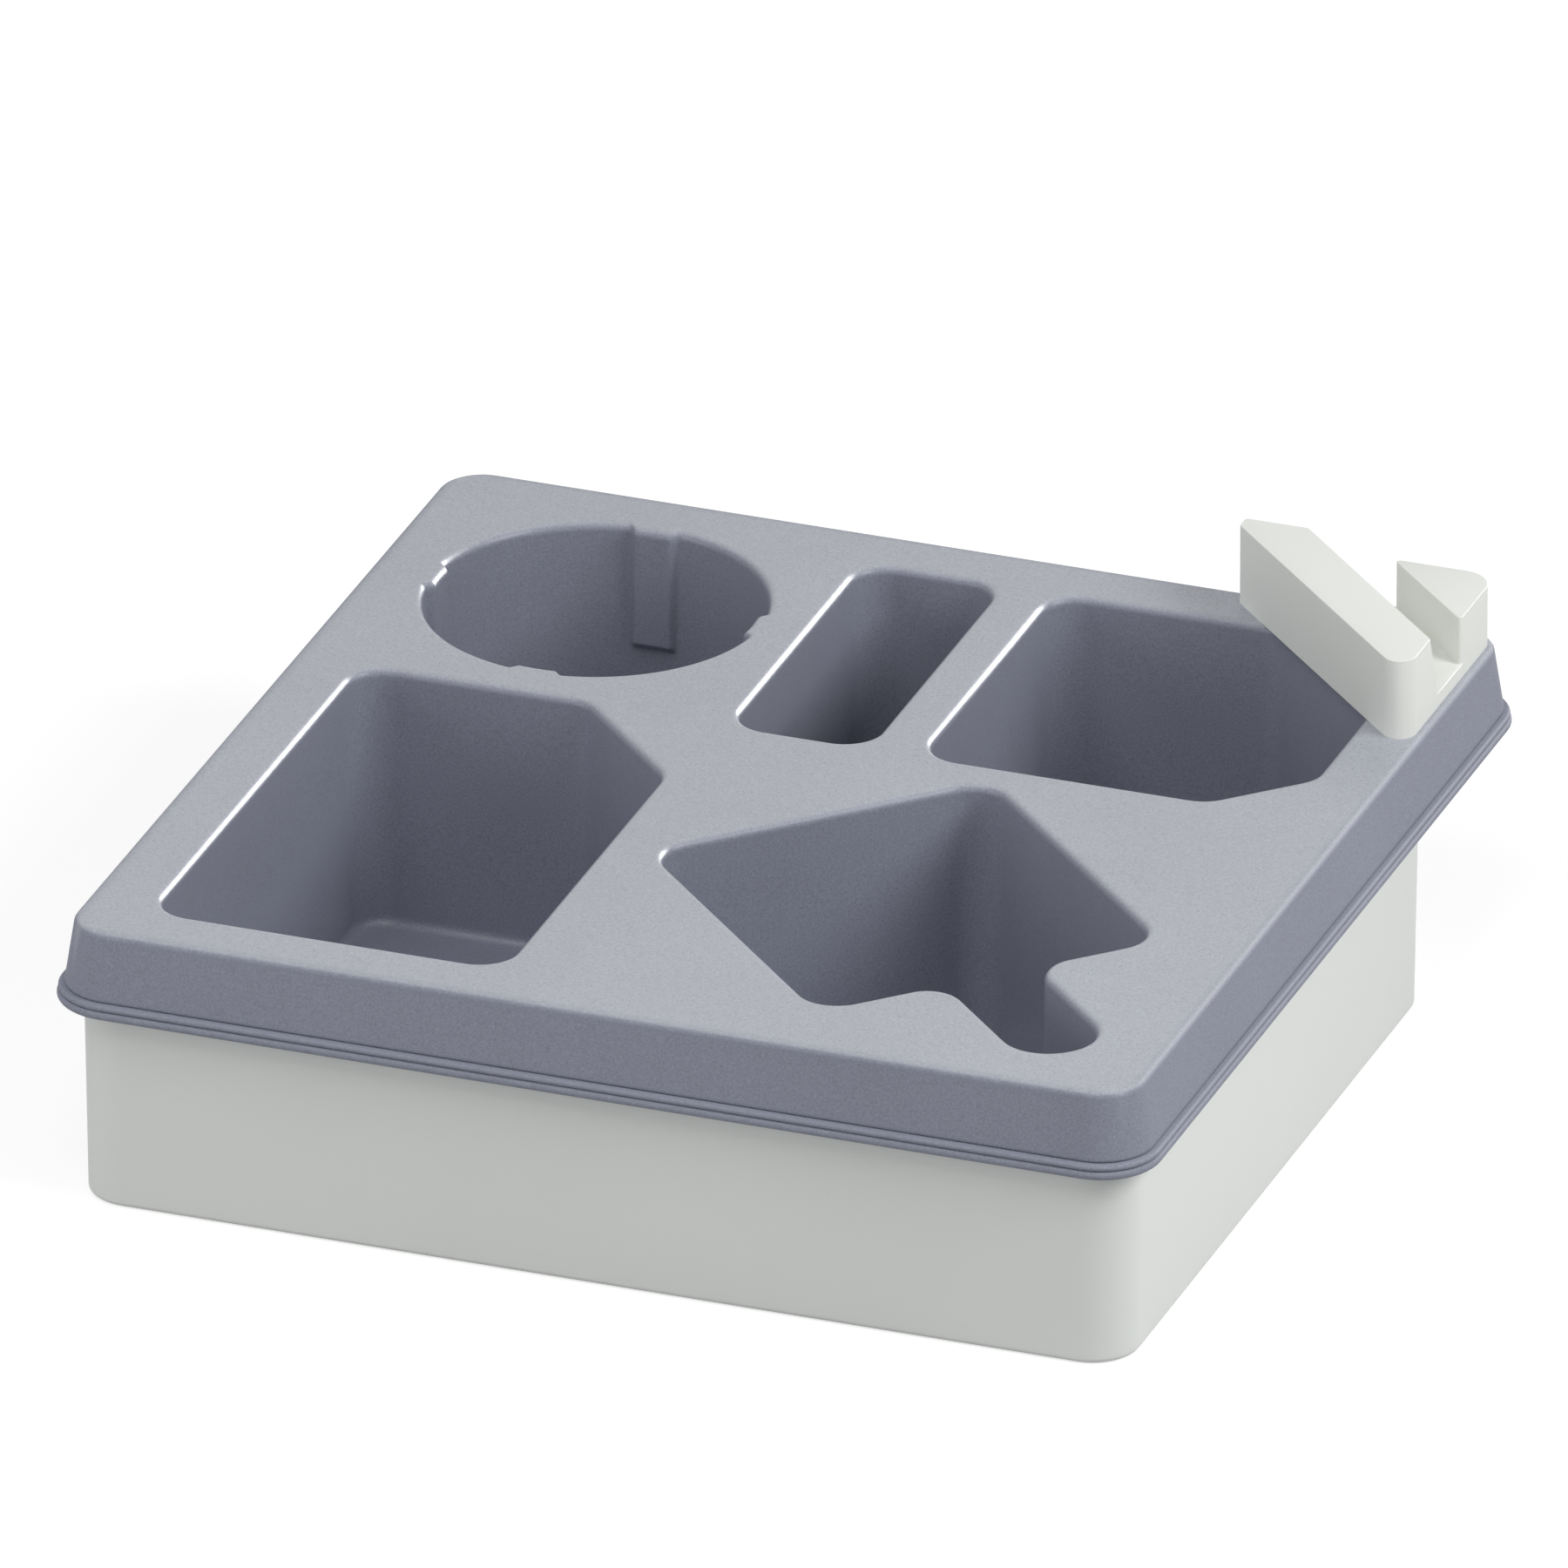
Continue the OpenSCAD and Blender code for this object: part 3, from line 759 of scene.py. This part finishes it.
def noise(nodes, links, place, scale, detail, roughness=0.5):
    """A noise pattern in the object's own place. The scale is in features per metre."""
    node = nodes.new("ShaderNodeTexNoise")
    node.inputs["Scale"].default_value = scale
    node.inputs["Detail"].default_value = detail
    node.inputs["Roughness"].default_value = roughness
    links.new(place.outputs["Object"], node.inputs["Vector"])
    return node.outputs["Fac"]


def ranged(nodes, links, value, low, high, start=0.0, end=1.0, smooth=False):
    """A value carried from one range to another."""
    node = nodes.new("ShaderNodeMapRange")
    if smooth:
        node.interpolation_type = "SMOOTHSTEP"
    for key, number in (("From Min", start), ("From Max", end), ("To Min", low), ("To Max", high)):
        node.inputs[key].default_value = number
    links.new(value, node.inputs["Value"])
    return node.outputs["Result"]


def reckoned(nodes, links, operation, first, second=None):
    """One sum done on one or two values."""
    node = nodes.new("ShaderNodeMath")
    node.operation = operation
    links.new(first, node.inputs[0])
    if second is not None:
        links.new(second, node.inputs[1])
    return node.outputs[0]


def mixed(nodes, links, share, a, b, blend="MIX"):
    """Two colours mixed by a share. A colour is a fixed one or a socket."""
    node = nodes.new("ShaderNodeMix")
    node.data_type = "RGBA"
    node.blend_type = blend
    if isinstance(share, float):
        node.inputs[0].default_value = share
    else:
        links.new(share, node.inputs[0])
    for key, value in zip(MIX_COLOURS, (a, b)):
        if isinstance(value, bpy.types.NodeSocket):
            links.new(value, node.inputs[key])
        else:
            node.inputs[key].default_value = (*value, 1.0)
    return node.outputs[MIX_RESULT]


def bumped(nodes, links, height, strength, distance, before=None):
    """A bump, over another one where there is one."""
    node = nodes.new("ShaderNodeBump")
    node.inputs["Strength"].default_value = strength
    node.inputs["Distance"].default_value = distance
    links.new(height, node.inputs["Height"])
    if before is not None:
        links.new(before, node.inputs["Normal"])
    return node.outputs["Normal"]


def silicone(finishes):
    """Satin silicone: a grained deck painted paler on its upward faces as painted light, deeper coloured
    walls with rims that glint, and a matt skirt.
    """
    material, nodes, links, shader, place = new_material("tray_silicone")
    split = nodes.new("ShaderNodeSeparateXYZ")
    links.new(place.outputs["Normal"], split.inputs[0])
    # Painted light: upward faces near the top of the tray are marked to get the paler top colour
    upward = ranged(nodes, links, split.outputs["Z"], low=0.0, high=1.0, start=0.55, end=0.98, smooth=True)
    spot = nodes.new("ShaderNodeSeparateXYZ")
    links.new(place.outputs["Object"], spot.inputs[0])
    near_top = ranged(
        nodes, links, spot.outputs["Z"], low=0.0, high=1.0,
        start=PAINTED_TOP_LIGHT_FROM - LIGHT_AND_FINISH_BLEND, end=PAINTED_TOP_LIGHT_FROM,
    )
    painted_top_light = reckoned(nodes, links, "MULTIPLY", upward, near_top)
    across = reckoned(nodes, links, "ABSOLUTE", spot.outputs["X"])
    along = reckoned(nodes, links, "ABSOLUTE", spot.outputs["Y"])
    outermost = reckoned(nodes, links, "MAXIMUM", across, along)
    on_skirt = ranged(
        nodes, links, outermost, low=0.0, high=1.0,
        start=SKIRT_FINISH_FROM, end=SKIRT_FINISH_FROM + LIGHT_AND_FINISH_BLEND,
    )
    grain = noise(nodes, links, place, scale=1500.0, detail=3.0, roughness=0.6)
    cloud = noise(nodes, links, place, scale=14.0, detail=3.0, roughness=0.55)
    # The painted light: the paler top colour on the deck's upward faces, the walls' colour everywhere else
    colour = mixed(nodes, links, painted_top_light, finishes.silicone_side, finishes.silicone_painted_lit_top)
    speckle = ranged(nodes, links, grain, low=0.82, high=1.18, start=0.25, end=0.75)
    clouding = ranged(nodes, links, cloud, low=0.97, high=1.03, start=0.3, end=0.7)
    for value in (speckle, clouding):
        tint = nodes.new("ShaderNodeCombineXYZ")
        for key in range(3):
            links.new(value, tint.inputs[key])
        colour = mixed(nodes, links, 1.0, colour, tint.outputs[0], "MULTIPLY")
    links.new(colour, shader.inputs["Base Color"])
    satin = ranged(nodes, links, grain, low=0.27, high=0.37, start=0.3, end=0.7)
    matt = ranged(nodes, links, on_skirt, low=0.0, high=0.25)
    links.new(reckoned(nodes, links, "ADD", satin, matt), shader.inputs["Roughness"])
    sheen = ranged(nodes, links, on_skirt, low=0.45, high=0.08)
    links.new(sheen, shader.inputs["Specular IOR Level"])
    waves = noise(nodes, links, place, scale=60.0, detail=2.0)
    bump = bumped(nodes, links, grain, strength=0.22, distance=0.00012)
    bump = bumped(nodes, links, waves, strength=0.05, distance=0.0004, before=bump)
    links.new(bump, shader.inputs["Normal"])
    shader.inputs["IOR"].default_value = 1.41
    return material


def moulded_plastic(name, base):
    """Pale satin moulded plastic with a barely visible texture and slight clouding."""
    material, nodes, links, shader, place = new_material(name)
    texture = noise(nodes, links, place, scale=900.0, detail=2.0)
    cloud = noise(nodes, links, place, scale=9.0, detail=3.0)
    clouding = ranged(nodes, links, cloud, low=0.0, high=1.0, start=0.3, end=0.7)
    shade = tuple(c * CLOUD_SHADE for c in base)
    links.new(mixed(nodes, links, clouding, shade, tuple(base)), shader.inputs["Base Color"])
    satin = ranged(nodes, links, texture, low=0.48, high=0.58, start=0.3, end=0.7)
    links.new(satin, shader.inputs["Roughness"])
    waves = noise(nodes, links, place, scale=25.0, detail=1.0)
    bump = bumped(nodes, links, texture, strength=0.08, distance=0.00006)
    bump = bumped(nodes, links, waves, strength=0.04, distance=0.0006, before=bump)
    links.new(bump, shader.inputs["Normal"])
    shader.inputs["IOR"].default_value = 1.45
    shader.inputs["Specular IOR Level"].default_value = 0.28
    return material


# The stage


def seen_white(nodes, links, shade, white):
    """Mix two shaders so that the camera, gloss and glass see the second."""
    ray = nodes.new("ShaderNodeLightPath").outputs
    seen = reckoned(nodes, links, "MAXIMUM", ray["Is Camera Ray"], ray["Is Glossy Ray"])
    seen = reckoned(nodes, links, "MAXIMUM", seen, ray["Is Transmission Ray"])
    mix = nodes.new("ShaderNodeMixShader")
    links.new(seen, mix.inputs[0])
    links.new(shade, mix.inputs[1])
    links.new(white, mix.inputs[2])
    return mix.outputs[0]


def floor_material():
    """A floor that looks white, keeps the object's shadow and throws a middling grey back at it."""
    material = bpy.data.materials.new("studio_floor")
    material.use_nodes = True
    nodes, links = material.node_tree.nodes, material.node_tree.links
    nodes.remove(nodes["Principled BSDF"])
    grey = nodes.new("ShaderNodeBsdfDiffuse")
    grey.inputs["Color"].default_value = FLOOR_GREY
    glow = nodes.new("ShaderNodeEmission")
    place = nodes.new("ShaderNodeTexCoord")
    away = nodes.new("ShaderNodeVectorMath")
    away.operation = "LENGTH"
    links.new(place.outputs["Object"], away.inputs[0])
    level = ranged(nodes, links, away.outputs["Value"], *FLOOR_GLOW, *FLOOR_GLOW_SPAN, smooth=True)
    links.new(level, glow.inputs["Strength"])
    both = nodes.new("ShaderNodeAddShader")
    links.new(glow.outputs[0], both.inputs[0])
    links.new(grey.outputs[0], both.inputs[1])
    surface = seen_white(nodes, links, grey.outputs[0], both.outputs[0])
    links.new(surface, nodes["Material Output"].inputs["Surface"])
    return material


def studio_world(ambient):
    """An even white surround. The camera sees it as white, and the object gets the ambient level."""
    world = bpy.data.worlds.new("studio")
    world.use_nodes = True
    nodes, links = world.node_tree.nodes, world.node_tree.links
    dim = nodes["Background"]
    dim.inputs["Color"].default_value = WHITE
    dim.inputs["Strength"].default_value = ambient
    white = nodes.new("ShaderNodeBackground")
    white.inputs["Strength"].default_value = 1.0
    white.inputs["Color"].default_value = WHITE
    surface = seen_white(nodes, links, dim.outputs[0], white.outputs[0])
    links.new(surface, nodes["World Output"].inputs["Surface"])
    return world


def soft_light(name, direction, level, width):
    """A soft box that lights a face turned to it to a level, where 1 shows a colour as written."""
    towards = Vector(direction).normalized()
    data = bpy.data.lights.new(name, "AREA")
    data.shape = "SQUARE"
    data.size = width
    data.energy = level * math.pi ** 2 * LIGHT_DISTANCE ** 2
    lamp = bpy.data.objects.new(name, data)
    lamp.location = towards * LIGHT_DISTANCE + Vector((0, 0, LIGHT_AIM_HEIGHT))
    lamp.rotation_euler = towards.to_track_quat("Z", "Y").to_euler()
    bpy.context.scene.collection.objects.link(lamp)
    return lamp


class TRAY_OT_stage(bpy.types.Operator):
    """Set up the pale floor, the soft lights and the camera"""

    bl_idname = "sofa_tray.stage"
    bl_label = "Stage"
    bl_options = {"REGISTER", "UNDO"}

    def execute(self, context):
        scene = context.scene
        bm = bmesh.new()
        bmesh.ops.create_circle(bm, cap_ends=True, radius=FLOOR_RADIUS, segments=FLOOR_STEPS)
        # The floor lies a hair below the box's standing rim, so that the two faces never share a plane
        bmesh.ops.translate(bm, verts=bm.verts, vec=(0, 0, -FLOOR_DROP))
        mesh = bpy.data.meshes.new("studio_floor")
        bm.to_mesh(mesh)
        bm.free()
        mesh.materials.append(floor_material())
        floor = bpy.data.objects.new("studio_floor", mesh)
        scene.collection.objects.link(floor)
        scene.world = studio_world(AMBIENT)
        for name, (direction, level, width) in SOFT_BOXES.items():
            lamp = soft_light(name, direction, level, width)
            lamp.visible_diffuse = name != GLINT
        right = Vector((math.cos(VIEW_TURN), math.sin(VIEW_TURN), 0))
        back = Vector((
            math.sin(VIEW_TURN) * math.cos(VIEW_RISE), -math.cos(VIEW_TURN) * math.cos(VIEW_RISE),
            math.sin(VIEW_RISE),
        ))
        up = back.cross(right)
        aim = Vector((0, 0, scene.tray_sizes.deck_height)) - right * VIEW_LEFT - up * VIEW_DOWN
        data = bpy.data.cameras.new("photo_view")
        data.sensor_width = 36.0
        data.lens = 1200.0
        data.clip_end = 60.0
        camera = bpy.data.objects.new("photo_view", data)
        camera.location = aim + back * (VIEW_WIDTH * data.lens / data.sensor_width)
        camera.rotation_euler = back.to_track_quat("Z", "Y").to_euler()
        scene.collection.objects.link(camera)
        scene.camera = camera
        scene.view_settings.view_transform = "Standard"
        return {"FINISHED"}


class TRAY_PT_panel(bpy.types.Panel):
    """Sizes, finishes and build buttons of the sofa arm tray"""

    bl_idname = "TRAY_PT_panel"
    bl_label = "Sofa arm tray"
    bl_space_type = "VIEW_3D"
    bl_region_type = "UI"
    bl_category = "Sofa tray"

    def draw(self, context):
        layout, scene = self.layout, context.scene
        for operator in OPERATORS:
            layout.operator(operator.bl_idname)
        for group in (scene.finishes, scene.tray_sizes, scene.box_sizes, scene.holder_sizes):
            column = layout.box().column(align=True)
            for key in type(group).__annotations__:
                column.prop(group, key)


GROUPS = {
    "tray_sizes": TraySizes,
    "box_sizes": BoxSizes,
    "holder_sizes": HolderSizes,
    "finishes": Finishes,
}
OPERATORS = (TRAY_OT_silicone, TRAY_OT_box, TRAY_OT_holder, TRAY_OT_stage)
CLASSES = (*GROUPS.values(), *OPERATORS, TRAY_PT_panel)


def register():
    """Register the classes and hang the sizes and finishes on the scene."""
    for cls in CLASSES:
        bpy.utils.register_class(cls)
    for key, group in GROUPS.items():
        setattr(bpy.types.Scene, key, PointerProperty(type=group))


def unregister():
    """Take away what register added."""
    for key in GROUPS:
        delattr(bpy.types.Scene, key)
    for cls in reversed(CLASSES):
        bpy.utils.unregister_class(cls)


def main():
    """Build every piece and the stage."""
    register()
    bpy.ops.sofa_tray.storage_box()
    bpy.ops.sofa_tray.silicone_tray()
    bpy.ops.sofa_tray.phone_holder()
    bpy.ops.sofa_tray.stage()


if __name__ == "__main__":
    main()
